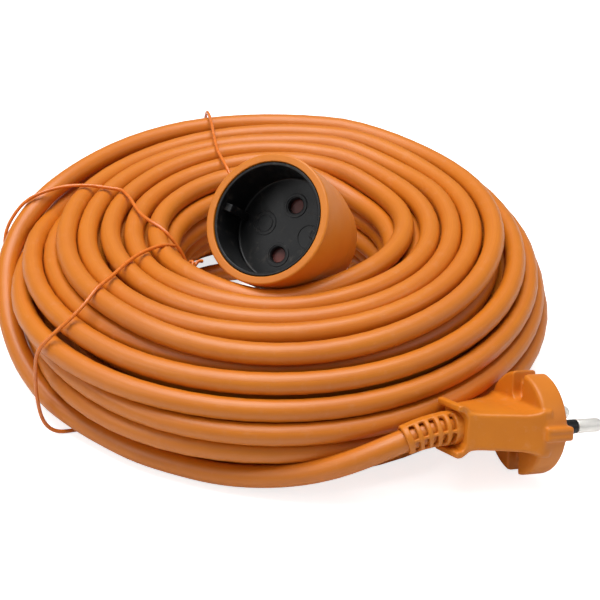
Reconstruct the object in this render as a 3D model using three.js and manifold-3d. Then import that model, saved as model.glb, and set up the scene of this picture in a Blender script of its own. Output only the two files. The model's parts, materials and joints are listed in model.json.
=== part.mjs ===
// Extension cord: a wound hank of round two-core cable, tied with plastic string, with a two-pole contour
// plug on one end and a round shuttered socket on the other. Millimetres, +Z up, resting on Z = 0.
import * as THREE from 'three';
import { mergeVertices } from 'three/addons/utils/BufferGeometryUtils.js';
import Module from 'manifold-3d';

const wasm = await Module();
wasm.setup();

// ---------------------------------------------------------------- driving dimensions
const gap = 0.3; // clear space kept between pieces that touch
const floorClearance = 0.1; // between the plug's lowest edge and the surface it stands on
const cableRadius = 3.85;
const coreRadius = 1.3;
const roundSides = 44; // facets of the plug's and the socket's round bodies

// The hank: a ring of turns, rounder outside than inside.
const coilMiddleRadius = 69.5;
const coilHalfWidth = 30.5;
const coilHalfHeight = 25;
const coilMiddleHeight = 24.5;
const coilOuterRoundness = 2.2; // superellipse exponents of the ring's section
const coilInnerRoundness = 3.6;

const tieRadius = 0.6;
const tieFloorHeight = 0.75; // centre of a tie where it runs below the hank
const knotRadius = 1.5;
const knotStrand = 0.55;

// The plug. Its own axes: X along the pins, Y along the row of two pins, Z across both; X = 0 is the back
// of the round flange.
const plugHeading = 21.4; // degrees about the vertical
const plugPitch = 12; // nose down
const plugRoll = -22.2;
const plugBearing = -47; // degrees about the hank
const flangeRadius = 17.6;
const plugDistance = coilMiddleRadius + coilHalfWidth + flangeRadius - 0.15; // the flange leans over the hank
const flangeThickness = 9.1;
const flangeEdge = 0.9;
const notchWidth = 6;
const notchDepth = 5.4;
const valleyDepth = 3.4;
const keyWidth = 4.8;
const keyProud = 1.4;
const gripLength = 23.3;
const gripThickness = 12.6;
const gripRearHalfWidth = 7.4;
const gripLipHeight = 9.4;
const gripLipReach = 4; // lips behind the grip's rear face
const pinSpacing = 19;
const pinRadius = 2.4;
const pinNeckRadius = 1.7;
const pinLength = 19;
const pinSleeveLength = 8.4;
const pinSleeveWall = 0.45;
const crimpRadius = 2.1;
const crimpLength = 7;
const carrierThickness = 5.5;
const carrierFront = 7; // X of the pin carrier's front face
const carrierEndMargin = 3.6; // carrier beyond the pin centres
const carrierHalfHeight = 4.2;

// Both strain reliefs: a slotted, tapered sleeve whose root is held in the moulding.
const reliefBore = cableRadius + 0.55;
const reliefRootRadius = reliefBore + 0.6;
const reliefRootLength = 5;
const reliefShoulder = reliefBore + 1.3;
const reliefTail = reliefBore + 0.55;
const slotCount = 5;
const slotPitch = 3.2;
const slotWidth = 1.7;
const slotHalfRib = 0.8;
const slotTop = 4.5;
const plugReliefLength = 19;
const socketReliefLength = 21;
const plugReliefBend = { radius: 44, side: 0.38, up: -0.925 };
const socketReliefBend = { radius: 33, side: 1, up: 0 };

// The socket. Its own axes: Z out of the recess, X along the row of two holes, Z = 0 at the rim.
const socketHeading = 57.4; // degrees about the vertical
const socketLean = 49.6; // the recess leans back from straight up
const socketX = -4.6;
const rimOverhang = 9.425; // the rim's lowest point out from the edge of the hank's hole
const socketLift = 0.875; // lowest point of the rim above the hank
const recessRadius = 19.5;
const recessDepth = 17.4;
const shellWall = 2.9;
const shellRearWall = 3.6;
const insertWall = 1.1;
const skirtWall = 1.4;
const insertRimDrop = 0.4;
const floorThickness = 1.9;
const insertSkirt = 4.7; // below the recess floor's underside
const holeRadius = 2.8;
const ribHalfWidth = 1.5;
const ribHeight = 2.9;
const ribTopDrop = 3.5;
const shutterThickness = 2.2;
const shutterTravel = 6.6;
const shutterWindowRadius = 3.1;
const shutterEndMargin = 3.7; // plate beyond the hole centres
const shutterRear = -11.4;
const shutterFront = 4.4;
const springRadius = 0.95;
const springWire = 0.2;
const springTurns = 6;
const springStops = 8; // points in each turn
const holderClearance = 0.4; // between the holder's body and the shell's cavity
const holderRim = 4.5; // holder beyond the contact pockets
const holderLift = 2; // holder's underside above the contacts' closed ends
const contactOuter = 3.2;
const contactBore = 2.45;
const contactSlit = 0.5;
const contactTailRadius = 1.5;
const contactTailOffset = 1.6; // the tail stands closer to the middle
const contactTailLength = 1.6;
const pinTipClearance = 1.2; // between a plug's pin tip and the contact's closed end
const coreHalfPitch = 2; // half the distance between the cores in the cable
const neckRoom = 1.9; // clear space round the tails
const neckWall = 2.3;

// ---------------------------------------------------------------- finishes
const finish = (color, roughness, metalness = 0) =>
  new THREE.MeshStandardMaterial({ color, roughness, metalness });
const cableOrange = finish(0xd4702a, 0.45);
const mouldingOrange = finish(0xd87a33, 0.5);
const stringOrange = finish(0xe06a22, 0.3);
const blackPlastic = finish(0x1c1c1e, 0.5);
const shutterRed = finish(0x7a2d22, 0.5);
const ivoryPlastic = finish(0xcfc6ae, 0.55);
const nickel = finish(0xd9d6cd, 0.25, 1);
const brass = finish(0xb8913f, 0.35, 1);
const springSteel = finish(0xa9abad, 0.3, 1);
const brownCore = finish(0x5b3420, 0.5);
const blueCore = finish(0x2a5fb0, 0.5);

// ---------------------------------------------------------------- solids
const radians = THREE.MathUtils.degToRad;

// A closed geometry as a manifold solid with its faces outward.
function solid(geometry) {
  const bare = geometry.clone();
  bare.deleteAttribute('normal');
  bare.deleteAttribute('uv');
  const merged = mergeVertices(bare, 1e-4);
  const vertProperties = Float32Array.from(merged.attributes.position.array);
  const triVerts = Uint32Array.from(merged.index.array);
  const corner = (i) => new THREE.Vector3().fromArray(vertProperties, 3 * i);
  let volume = 0;
  for (let i = 0; i < triVerts.length; i += 3) {
    volume += corner(triVerts[i]).dot(corner(triVerts[i + 1]).cross(corner(triVerts[i + 2])));
  }
  if (volume < 0) {
    for (let i = 0; i < triVerts.length; i += 3) {
      [triVerts[i], triVerts[i + 1]] = [triVerts[i + 1], triVerts[i]];
    }
  }
  return new wasm.Manifold(new wasm.Mesh({ numProp: 3, vertProperties, triVerts }));
}

function geometryOf(manifold) {
  const { vertProperties, triVerts } = manifold.getMesh();
  const geometry = new THREE.BufferGeometry();
  geometry.setAttribute('position', new THREE.BufferAttribute(vertProperties, 3));
  geometry.setIndex(new THREE.BufferAttribute(triVerts, 1));
  geometry.computeVertexNormals();
  return geometry;
}

const join = (...pieces) => pieces.reduce((whole, piece) => whole.add(piece));
const cut = (whole, ...cutters) => cutters.reduce((rest, cutter) => rest.subtract(cutter), whole);

// A box from its low and high corners.
function block([x0, y0, z0], [x1, y1, z1]) {
  const geometry = new THREE.BoxGeometry(x1 - x0, y1 - y0, z1 - z0);
  return solid(geometry.translate((x0 + x1) / 2, (y0 + y1) / 2, (z0 + z1) / 2));
}

// A profile of [radius, height] pairs turned about Z. It closes on itself or on the axis.
function turned(profile, sides = 48) {
  const points = profile.map(([radius, height]) => new THREE.Vector2(radius, height));
  return solid(new THREE.LatheGeometry(points, sides).rotateX(Math.PI / 2));
}

// A round rod along Z.
const rod = (radius, low, high, sides = 24) =>
  turned([[0, low], [radius, low], [radius, high], [0, high]], sides);

const ring = (points) => [...points, points[0]];

// A flat outline of [x, y] pairs raised along Z.
function raised(outline, low, high) {
  const shape = new THREE.Shape(outline.map(([x, y]) => new THREE.Vector2(x, y)));
  const geometry = new THREE.ExtrudeGeometry(shape, { depth: high - low, bevelEnabled: false });
  return geometry.translate(0, 0, low);
}

// A round tube that follows a curve.
function tube(curve, radius, sides, steps) {
  const section = new THREE.Shape(
    Array.from({ length: sides }, (_, i) => {
      const angle = (2 * Math.PI * i) / sides;
      return new THREE.Vector2(radius * Math.cos(angle), radius * Math.sin(angle));
    })
  );
  return solid(new THREE.ExtrudeGeometry(section, { steps, bevelEnabled: false, extrudePath: curve }));
}

const smoothCurve = (points, closed = false) => new THREE.CatmullRomCurve3(points, closed, 'centripetal');
const alongX = (manifold) => manifold.rotate([0, 90, 0]);

// ---------------------------------------------------------------- object
const object = new THREE.Group();

function place(name, manifold, material, parent = object) {
  const mesh = new THREE.Mesh(geometryOf(manifold), material);
  mesh.name = name;
  parent.add(mesh);
  return mesh;
}

// ---------------------------------------------------------------- the hank
// A point of the ring's section at an angle (0 outward, 90 up), moved out by an offset.
function sectionPoint(degrees, offset) {
  const c = Math.cos(radians(degrees));
  const s = Math.sin(radians(degrees));
  const power = 2 / (c >= 0 ? coilOuterRoundness : coilInnerRoundness);
  const across = Math.sign(c) * Math.abs(c) ** power;
  const above = Math.sign(s) * Math.abs(s) ** power;
  return [
    coilMiddleRadius + (coilHalfWidth + offset) * across,
    coilMiddleHeight + (coilHalfHeight + offset) * above,
  ];
}

const coilSides = 48;
const sectionSteps = 24;
const coilSection = Array.from({ length: sectionSteps }, (_, i) => {
  const [radius, height] = sectionPoint((360 * i) / sectionSteps, 0);
  return [radius, Math.max(height, 0)];
});
const wholeCoil = turned(ring(coilSection), coilSides);

// Each tie's route: section angle, heading about the hank, and slack that it stands off the turns.
const tieBackRoute = [
  [-20, 110, 0], [0, 110, 1], [20, 110, 3], [40, 110, 3.5], [60, 111, 1], [90, 114, 0], [115, 117, 0],
  [140, 119, 0], [158, 119, 0], [180, 119, 0], [205, 119, 0], [230, 117, 0], [270, 113, 0], [300, 111, 0],
  [325, 110, 0],
];
const tieLeftRoute = [
  [158, 200, 0], [140, 193, 0], [125, 182, 0], [112, 168, 0], [100, 162.5, 0], [90, 163, 0], [75, 163.5, 1],
  [60, 165, 5], [45, 170, 10], [30, 175, 11], [15, 178, 11], [0, 179, 8], [-20, 179, 4], [-45, 180, 0],
  [-90, 182, 0], [-130, 192, 0], [-160, 197, 0], [-185, 200, 0],
];
const tieFrontRoute = [
  [140, 203, 0], [115, 209, 0], [100, 213, 0], [85, 216.5, 0], [70, 219, 0], [55, 221, 0.5], [40, 221, 1],
  [25, 220, 3], [10, 218.5, 5], [-10, 218, 7], [-30, 220, 9.5], [-45, 222.5, 9], [-60, 227, 4],
  [-90, 230, 0], [-125, 225, 0], [-160, 215, 0], [-180, 208, 0], [-190, 205, 0],
];

// Where a tie is at one stop of its route.
function tiePoint([degrees, heading, slack]) {
  const [radius, height] = sectionPoint(degrees, gap + tieRadius + slack);
  const angle = radians(heading);
  const across = new THREE.Vector3(radius * Math.cos(angle), radius * Math.sin(angle), 0);
  return across.setZ(Math.max(height, tieFloorHeight));
}

const tieSides = 6;
const tieSteps = 40;

// The string never sags below the height that it has under the hank.
function tieCurve(route) {
  const points = smoothCurve(route.map(tiePoint)).getPoints(2 * tieSteps);
  for (const point of points) point.z = Math.max(point.z, tieFloorHeight);
  return smoothCurve(points);
}

const string = (route) => tube(tieCurve(route), tieRadius, tieSides, tieSteps);
const stringChannel = (route) => tube(tieCurve(route), tieRadius + gap, tieSides, tieSteps);

// An overhand knot's body, with its strands too close to tell apart inside.
function knot(centre, lean) {
  const geometry = new THREE.TorusKnotGeometry(knotRadius, knotStrand, 30, 5, 2, 3);
  geometry.rotateX(lean).translate(centre.x, centre.y, centre.z);
  return solid(geometry);
}

function addHank() {
  const routes = [tieBackRoute, tieLeftRoute, tieFrontRoute];
  place('cable_coil', cut(wholeCoil, ...routes.map(stringChannel)), cableOrange);

  const [backKnot, leftKnot] = [tieBackRoute, tieLeftRoute].map((route) => {
    const middle = tiePoint(route[0]).add(tiePoint(route.at(-1))).multiplyScalar(0.5);
    const away = Math.sign(middle.length() - coilMiddleRadius) * (gap + knotRadius + knotStrand);
    return middle.addScaledVector(new THREE.Vector3(middle.x, middle.y, 0).normalize(), away);
  });
  const tied = (route, centre) => {
    const leads = [route[0], route.at(-1)].map((stop) =>
      tube(smoothCurve([tiePoint(stop), centre]), tieRadius, tieSides, 2)
    );
    return join(string(route), ...leads, knot(centre, 0.6));
  };
  place('tie_back', tied(tieBackRoute, backKnot), stringOrange);
  place('tie_left', tied(tieLeftRoute, leftKnot), stringOrange);
  place('tie_front_left', string(tieFrontRoute), stringOrange);
}

// ---------------------------------------------------------------- strain reliefs
// The sleeve runs from X = 0, the moulding's face, to minus its length, and its root lies at plus X.
function straightRelief(length) {
  const shoulderEnd = -1.6;
  const stations = Array.from({ length: 6 }, (_, i) => i / 5);
  const along = (share) => shoulderEnd - share * (length - 0.8 + shoulderEnd);
  const taper = (share) => reliefShoulder - 0.3 + share * (reliefTail - reliefShoulder + 0.3);
  const sleeve = alongX(
    turned(
      ring([
        [reliefBore, reliefRootLength],
        [reliefRootRadius, reliefRootLength],
        [reliefRootRadius, -gap],
        [reliefShoulder, -gap],
        [reliefShoulder, shoulderEnd],
        ...stations.map((share) => [taper(share), along(share)]),
        [reliefTail - 0.3, -length],
        [reliefBore, -length],
        ...stations.map((share) => [reliefBore, along(1 - share)]),
        [reliefBore, 0],
      ]),
      20
    )
  );
  const slots = [];
  for (let i = 0; i < slotCount; i += 1) {
    const start = -3.2 - i * slotPitch;
    for (const side of [-1, 1]) {
      for (const half of [-1, 1]) {
        const ys = [side * 2, side * (reliefShoulder + 1)].sort((a, b) => a - b);
        const zs = [half * slotHalfRib, half * slotTop].sort((a, b) => a - b);
        slots.push(block([start - slotWidth, ys[0], zs[0]], [start, ys[1], zs[1]]));
      }
    }
  }
  return cut(sleeve, ...slots);
}

// A point at plus X stays; past X = 0 the X axis follows an arc towards (side, up) in the YZ plane.
function bentPoint(point, bend) {
  if (point.x >= 0) return point.clone();
  const towards = new THREE.Vector3(0, bend.side, bend.up).normalize();
  const across = new THREE.Vector3(1, 0, 0).cross(towards);
  const angle = -point.x / bend.radius;
  const inward = new THREE.Vector3(Math.sin(angle), 0, 0).addScaledVector(towards, Math.cos(angle));
  return new THREE.Vector3(-bend.radius * Math.sin(angle), 0, 0)
    .addScaledVector(towards, bend.radius * (1 - Math.cos(angle)))
    .addScaledVector(inward, point.dot(towards))
    .addScaledVector(across, point.dot(across));
}

function strainRelief(length, bend) {
  return straightRelief(length).warp((vertex) => {
    const moved = bentPoint(new THREE.Vector3().fromArray(vertex), bend);
    moved.toArray(vertex);
  });
}

// The cable's middle line through a strain relief, in the relief's own axes.
function lineThroughRelief(length, bend, innerEnd) {
  const stations = [innerEnd, innerEnd / 2, 0, -length / 3, (-2 * length) / 3, -length];
  return stations.map((x) => bentPoint(new THREE.Vector3(x, 0, 0), bend));
}

// ---------------------------------------------------------------- plug
const plug = new THREE.Group();
plug.rotation.set(radians(plugRoll), radians(plugPitch), radians(plugHeading), 'ZYX');
const plugRestHeight =
  flangeRadius * Math.cos(radians(plugPitch)) + flangeThickness * Math.sin(radians(plugPitch));
plug.position.set(
  plugDistance * Math.cos(radians(plugBearing)),
  plugDistance * Math.sin(radians(plugBearing)),
  plugRestHeight + floorClearance
);
object.add(plug);

const pinCentres = { near: -pinSpacing / 2, far: pinSpacing / 2 };
const pinSides = 20;
const neckClear = pinNeckRadius + gap;
const sleeveRadius = neckClear + pinSleeveWall;
const pinShoulder = flangeThickness + pinSleeveLength;
const carrierBack = carrierFront - carrierThickness;
const crimpBack = carrierBack - gap - crimpLength;
const plugSheathEnd = -gripLength + reliefRootLength + gap;

function gripSolid() {
  const half = gripThickness / 2;
  const upperEdge = [
    [0, half + 1.6], [-2.2, half + 0.6], [-5, half], [-gripLength + 7, half - 0.2],
    [-gripLength + 3, half + 0.4], [-gripLength, half + 1.3],
    [-gripLength - gripLipReach + 1, gripLipHeight], [-gripLength - gripLipReach, gripLipHeight - 0.6],
    [-gripLength - 0.4, half + 0.4],
  ];
  const lowerEdge = upperEdge.map(([x, z]) => [x, -z]).reverse();
  const overlap = 2;
  const side = [[overlap, half + 1.6], ...upperEdge, [-gripLength, half], [-gripLength, -half], ...lowerEdge,
    [overlap, -half - 1.6]];
  const frontHalfWidth = flangeRadius - 0.7;
  const widening = (frontHalfWidth - gripRearHalfWidth) / gripLength;
  const rearEnd = -gripLength - gripLipReach - 1;
  const rearHalf = gripRearHalfWidth - (gripLipReach + 1) * widening;
  const plan = [
    [overlap, -frontHalfWidth], [overlap, frontHalfWidth], [0, frontHalfWidth],
    [rearEnd, rearHalf], [rearEnd, -rearHalf], [0, -frontHalfWidth],
  ];
  const reach = flangeRadius + 2;
  // The side view is drawn in X and Z, so it is raised along Y.
  const sideBlank = solid(raised(side, -reach, reach).rotateX(Math.PI / 2));
  return sideBlank.intersect(solid(raised(plan, -reach, reach)));
}

function plugBody() {
  const flange = alongX(
    turned(
      [
        [0, 0], [flangeRadius - flangeEdge, 0], [flangeRadius, flangeEdge],
        [flangeRadius, flangeThickness - flangeEdge], [flangeRadius - flangeEdge, flangeThickness],
        [0, flangeThickness],
      ],
      roundSides
    )
  );
  const keys = [-1, 1].map((side) => {
    const ys = [side * (flangeRadius - 2), side * (flangeRadius + keyProud)].sort((a, b) => a - b);
    return block([0.3, ys[0], -keyWidth / 2], [flangeThickness + keyProud, ys[1], keyWidth / 2]);
  });
  const notches = [-1, 1].flatMap((side) => {
    const rim = side * (flangeRadius + 1);
    const bottom = [rim, side * (flangeRadius - notchDepth)].sort((a, b) => a - b);
    const valley = [rim, side * (gripThickness / 2 + 1.6)].sort((a, b) => a - b);
    return [
      block([-1, -notchWidth / 2, bottom[0]], [flangeThickness + 1, notchWidth / 2, bottom[1]]),
      block([-1, -notchWidth / 2, valley[0]], [valleyDepth, notchWidth / 2, valley[1]]),
    ];
  });

  const halfRow = pinSpacing / 2;
  const pocket = block(
    [carrierBack - gap, -halfRow - carrierEndMargin - gap, -carrierHalfHeight - gap],
    [carrierFront + gap, halfRow + carrierEndMargin + gap, carrierHalfHeight + gap]
  );
  const sleeveHoles = Object.values(pinCentres).map((y) =>
    alongX(rod(sleeveRadius + gap, carrierFront, flangeThickness + 1)).translate([0, y, 0])
  );
  const chamberHalf = crimpRadius + 0.5;
  const wide = halfRow + crimpRadius + 0.5;
  const chamber = solid(
    raised(
      [
        [carrierBack, -wide], [carrierBack, wide], [crimpBack - 1, wide], [plugSheathEnd, cableRadius],
        [plugSheathEnd - 1, -cableRadius], [crimpBack - 1, -wide],
      ],
      -chamberHalf,
      chamberHalf
    )
  );
  const reliefHole = alongX(
    rod(reliefRootRadius + gap, -gripLength - 4, -gripLength + reliefRootLength + gap, 32)
  );
  return cut(join(flange, gripSolid(), ...keys), ...notches, pocket, ...sleeveHoles, chamber, reliefHole);
}

function pinCarrier() {
  const halfRow = pinSpacing / 2;
  const bar = block(
    [carrierBack, -halfRow - carrierEndMargin, -carrierHalfHeight],
    [carrierFront, halfRow + carrierEndMargin, carrierHalfHeight]
  );
  const sleeves = Object.values(pinCentres).map((y) =>
    alongX(rod(sleeveRadius, carrierFront - 1, pinShoulder, pinSides)).translate([0, y, 0])
  );
  const bores = Object.values(pinCentres).map((y) =>
    alongX(rod(neckClear, carrierBack - 1, pinShoulder + 1, pinSides)).translate([0, y, 0])
  );
  return cut(join(bar, ...sleeves), ...bores);
}

function pin(y) {
  const tip = flangeThickness + pinLength;
  const profile = [
    [0, crimpBack], [crimpRadius, crimpBack], [crimpRadius, carrierBack - gap],
    [pinNeckRadius, carrierBack - gap], [pinNeckRadius, pinShoulder + gap],
    [pinRadius, pinShoulder + gap], [pinRadius, tip - 1.6], [pinRadius - 0.35, tip - 0.6],
    [pinRadius - 1.1, tip - 0.1], [0, tip],
  ];
  return alongX(turned(profile, pinSides)).translate([0, y, 0]);
}

function plugCore(y) {
  const side = Math.sign(y);
  const middle = (crimpBack + plugSheathEnd) / 2;
  const lead = [
    [crimpBack - gap, y], [crimpBack - 2.2, y], [middle, y * 0.56],
    [plugSheathEnd + 2, side * 2], [plugSheathEnd + gap, side * 1.9],
  ];
  return tube(smoothCurve(lead.map(([x, across]) => new THREE.Vector3(x, across, 0))), coreRadius, 10, 12);
}

function addPlug() {
  place('plug_body', plugBody(), mouldingOrange, plug);
  place('plug_pin_carrier', pinCarrier(), blackPlastic, plug);
  place('plug_pin_near', pin(pinCentres.near), nickel, plug);
  place('plug_pin_far', pin(pinCentres.far), nickel, plug);
  place('plug_core_brown', plugCore(pinCentres.near), brownCore, plug);
  place('plug_core_blue', plugCore(pinCentres.far), blueCore, plug);
  const relief = strainRelief(plugReliefLength, plugReliefBend);
  place('plug_strain_relief', relief, mouldingOrange, plug).position.x = -gripLength;
}

// ---------------------------------------------------------------- socket

const holeCentres = { upper: pinSpacing / 2, lower: -pinSpacing / 2 };
const cavityRadius = recessRadius + insertWall + gap;
const shellRimRadius = cavityRadius + shellWall;
const floorTop = -recessDepth;
const floorUnder = floorTop - floorThickness;
const skirtEnd = floorUnder - insertSkirt;
const skirtInner = cavityRadius - gap - skirtWall;
const shutterHalfLength = pinSpacing / 2 + shutterEndMargin;
const shutterTop = floorUnder - gap;
const shutterUnder = shutterTop - shutterThickness;
const holderTop = shutterUnder - gap;
const contactBottom = floorTop - pinLength - pinTipClearance;
const holderEnd = contactBottom + holderLift;
const contactReach = pinSpacing / 2 + contactOuter + gap;
const bodyCavityRadius = contactReach + holderRim;
const shellWaistRadius = bodyCavityRadius + shellWall;
const shellWaistDepth = -contactBottom - 2.6;
const neckCavityRadius = pinSpacing / 2 - contactTailOffset + contactTailRadius + neckRoom;
const shellNeckRadius = neckCavityRadius + neckWall;
const shellNeckDepth = shellWaistDepth + 6;
const tailEnd = contactBottom - contactTailLength;
const coreShift = pinSpacing / 2 - contactTailOffset - coreHalfPitch; // sideways, from tail to cable
const coreRun = 0.983 * coreShift; // length that the cores have to bend in
const shellLength = -tailEnd + coreRun + reliefRootLength;
const sheathEndInSocket = -shellLength + reliefRootLength - 1.5;

const socket = new THREE.Group();
socket.rotation.set(0, radians(-socketLean), radians(socketHeading), 'ZYX');
const hankTop = coilMiddleHeight + coilHalfHeight;
const rimHalfHeight = shellRimRadius * Math.sin(radians(socketLean));
const rimInset = shellRimRadius * Math.cos(radians(socketLean)) - rimOverhang;
const holeRadiusOfHank = coilMiddleRadius - coilHalfWidth;
socket.position.set(socketX, -holeRadiusOfHank + rimInset, hankTop + rimHalfHeight + socketLift);
object.add(socket);

function socketShell() {
  const rearInside = -shellLength + shellRearWall;
  const stepDown = contactBottom - 1;
  return turned(
    ring([
      [cavityRadius, 0], [shellRimRadius - 0.7, 0], [shellRimRadius, -0.8],
      [shellRimRadius - 0.3, skirtEnd + 10],
      [shellRimRadius - 1.3, skirtEnd - 1], [shellWaistRadius, -shellWaistDepth],
      [shellWaistRadius - 1.6, -shellWaistDepth - 2.6],
      [shellNeckRadius + 2.2, -shellNeckDepth + 0.8], [shellNeckRadius, -shellNeckDepth],
      [shellNeckRadius - 0.7, -shellLength + 1.4], [shellNeckRadius - 2, -shellLength],
      [reliefRootRadius + gap, -shellLength], [reliefRootRadius + gap, rearInside],
      [neckCavityRadius, rearInside],
      [neckCavityRadius, stepDown - 1], [contactReach, stepDown],
      [contactReach, holderEnd - gap], [bodyCavityRadius, holderEnd - gap],
      [bodyCavityRadius, skirtEnd - gap], [cavityRadius, skirtEnd - gap],
    ]),
    roundSides
  );
}

function socketInsert() {
  const outer = cavityRadius - gap;
  const cup = turned(
    [
      [0, floorTop], [recessRadius, floorTop], [recessRadius, -insertRimDrop - 0.4],
      [recessRadius + 0.4, -insertRimDrop],
    [outer, -insertRimDrop], [outer, skirtEnd], [skirtInner, skirtEnd],
      [skirtInner, floorUnder], [0, floorUnder],
    ],
    roundSides
  );
  const ribs = [-1, 1].map((side) => {
    const ys = [side * (recessRadius - ribHeight), side * (recessRadius + 0.4)].sort((a, b) => a - b);
    return block([-ribHalfWidth, ys[0], floorTop - 0.5], [ribHalfWidth, ys[1], -ribTopDrop]);
  });
  const holes = Object.values(holeCentres).map((x) =>
    turned([[0, floorUnder - 1], [holeRadius, floorUnder - 1], [holeRadius, floorTop - 0.5],
      [holeRadius + 0.6, floorTop + 0.1], [holeRadius + 0.6, floorTop + 1], [0, floorTop + 1]], 24)
      .translate([x, 0, 0])
  );
  return cut(join(cup, ...ribs), ...holes);
}

// A plate that closes both holes until two pins press its ramps together.
function socketShutter() {
  const plate = block(
    [-shutterHalfLength, shutterRear, shutterUnder],
    [shutterHalfLength, shutterFront, shutterTop]
  );
  const windows = Object.values(holeCentres).map((x) =>
    rod(shutterWindowRadius, shutterUnder - 1, shutterTop + 1).translate([x, -shutterTravel, 0])
  );
  const ramps = Object.values(holeCentres).map((x) => {
    const wedge = raised([[-2.4, 0.9], [2.6, 0.9], [2.6, -0.2], [-2.4, -1.1]], -holeRadius, holeRadius);
    return solid(wedge.rotateX(Math.PI / 2).rotateZ(Math.PI / 2).translate(x, 0, shutterTop));
  });
  return cut(plate, ...windows, ...ramps);
}

// The return spring between the plate's edge and the insert's skirt.
function shutterSpring() {
  const from = shutterFront + gap + springWire;
  const to = skirtInner - gap - springWire;
  const stops = springTurns * springStops;
  const points = Array.from({ length: stops + 1 }, (_, i) => {
    const angle = (2 * Math.PI * i) / springStops;
    return new THREE.Vector3(
      springRadius * Math.cos(angle),
      from + ((to - from) * i) / stops,
      (shutterTop + shutterUnder) / 2 + springRadius * Math.sin(angle)
    );
  });
  return tube(smoothCurve(points), springWire, 5, stops);
}

function contactHolder() {
  const lowerRadius = bodyCavityRadius - holderClearance;
  const upperRadius = skirtInner - holderClearance;
  const body = turned(
    [
      [0, holderEnd], [lowerRadius, holderEnd], [lowerRadius, skirtEnd],
      [upperRadius, skirtEnd], [upperRadius, holderTop], [0, holderTop],
    ],
    roundSides
  );
  const pockets = Object.values(holeCentres).map((x) =>
    rod(contactOuter + gap, holderEnd - 1, holderTop + 1).translate([x, 0, 0])
  );
  return cut(body, ...pockets);
}

// A sprung brass tube, slit along one side, with a crimp tail below.
function contact(x) {
  const top = holderTop - gap;
  const barrel = turned(
    [
      [0, contactBottom], [contactOuter, contactBottom], [contactOuter, top], [contactBore + 0.3, top],
      [contactBore, top - 0.8], [contactBore, contactBottom + 0.8], [0, contactBottom + 0.8],
    ],
    20
  );
  const slit = block(
    [-contactSlit / 2, contactBore - 1, contactBottom + 2],
    [contactSlit / 2, contactOuter + 1, top + 1]
  );
  const tailX = -Math.sign(x) * contactTailOffset;
  const tail = rod(contactTailRadius, tailEnd, contactBottom + 0.4, 12).translate([tailX, 0, 0]);
  return join(cut(barrel, slit), tail).translate([x, 0, 0]);
}

function socketCore(x) {
  const side = Math.sign(x);
  const start = x - side * contactTailOffset;
  const lead = [
    [start, tailEnd - gap], [start, tailEnd - 1.1],
    [start - side * 0.17 * coreShift, tailEnd - 0.41 * coreRun],
    [start - side * 0.76 * coreShift, tailEnd - 0.83 * coreRun],
    [side * (coreHalfPitch + 0.2), sheathEndInSocket + 1.2], [side * coreHalfPitch, sheathEndInSocket + gap],
  ];
  return tube(smoothCurve(lead.map(([across, z]) => new THREE.Vector3(across, 0, z))), coreRadius, 10, 12);
}

function addSocket() {
  place('socket_shell', socketShell(), mouldingOrange, socket);
  place('socket_insert', socketInsert(), blackPlastic, socket);
  place('socket_shutter', socketShutter(), shutterRed, socket);
  place('socket_shutter_spring', shutterSpring(), springSteel, socket);
  place('socket_contact_holder', contactHolder(), ivoryPlastic, socket);
  place('socket_contact_upper', contact(holeCentres.upper), brass, socket);
  place('socket_contact_lower', contact(holeCentres.lower), brass, socket);
  place('socket_core_brown', socketCore(holeCentres.upper), brownCore, socket);
  place('socket_core_blue', socketCore(holeCentres.lower), blueCore, socket);
  const sleeve = strainRelief(socketReliefLength, socketReliefBend);
  const relief = place('socket_strain_relief', sleeve, mouldingOrange, socket);
  relief.position.z = -shellLength;
  relief.rotation.y = -Math.PI / 2;
}

// ---------------------------------------------------------------- loose leads of the cable
const leadSides = 10;

// A lead's stops from its strain relief, which is a mesh in a turned group, out to the hank.
function leadCurve(mesh, length, bend, innerEnd, stops) {
  object.updateMatrixWorld(true);
  const inside = lineThroughRelief(length, bend, innerEnd).map((point) => mesh.localToWorld(point));
  return smoothCurve([...inside, ...stops.map((stop) => new THREE.Vector3(...stop))]);
}

// From the plug round the front of the hank, up its left side and over its shoulder.
const plugLeadStops = [
  [34.2, -103.9, 22.4], [26, -105.5, 18.8], [17, -105.2, 14.6], [8, -103.4, 10.9], [-2, -101, 8.1],
  [-14, -98.5, 6.4], [-27, -94.2, 5.8],
  [-47, -85.6, 5.9], [-63, -74.8, 6.3], [-76, -65, 8.2], [-84.5, -57.4, 11.4], [-94.2, -44.4, 17.6],
  [-101.5, -26.5, 25.5], [-104.4, -7, 32], [-102.4, 6, 37.6], [-98, 14.5, 42.8], [-92.6, 24.4, 46.6],
  [-85, 36, 48.4],
];
// From the socket down a turn inside the hank's hole to the surface it stands on.
const socketLeadStops = [
  [17.6, 21.6, 15.6], [13.6, 26.6, 10.6], [7.9, 31, 6.6], [0.6, 34.6, 4.6], [-7.5, 36.6, 4.1],
];

function addLeads() {
  const reliefOf = (name) => object.getObjectByName(name);
  const fromPlug = leadCurve(
    reliefOf('plug_strain_relief'), plugReliefLength, plugReliefBend, gripLength + plugSheathEnd,
    plugLeadStops
  );
  const fromSocket = leadCurve(
    reliefOf('socket_strain_relief'), socketReliefLength, socketReliefBend, shellLength + sheathEndInSocket,
    socketLeadStops
  );
  place('cable_lead_plug', tube(fromPlug, cableRadius, leadSides, 38), cableOrange);
  place('cable_lead_socket', tube(fromSocket, cableRadius, leadSides, 20), cableOrange);
}

// ---------------------------------------------------------------- assembly
addHank();
addPlug();
addSocket();
addLeads();

// The frame's origin is the middle of the object's footprint, on the surface it stands on.
const assembly = new THREE.Group();
assembly.add(object);
assembly.updateMatrixWorld(true);
const reach = new THREE.Box3().setFromObject(object, true);
const middle = reach.getCenter(new THREE.Vector3());
object.position.set(-middle.x, -middle.y, -reach.min.z);

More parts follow.
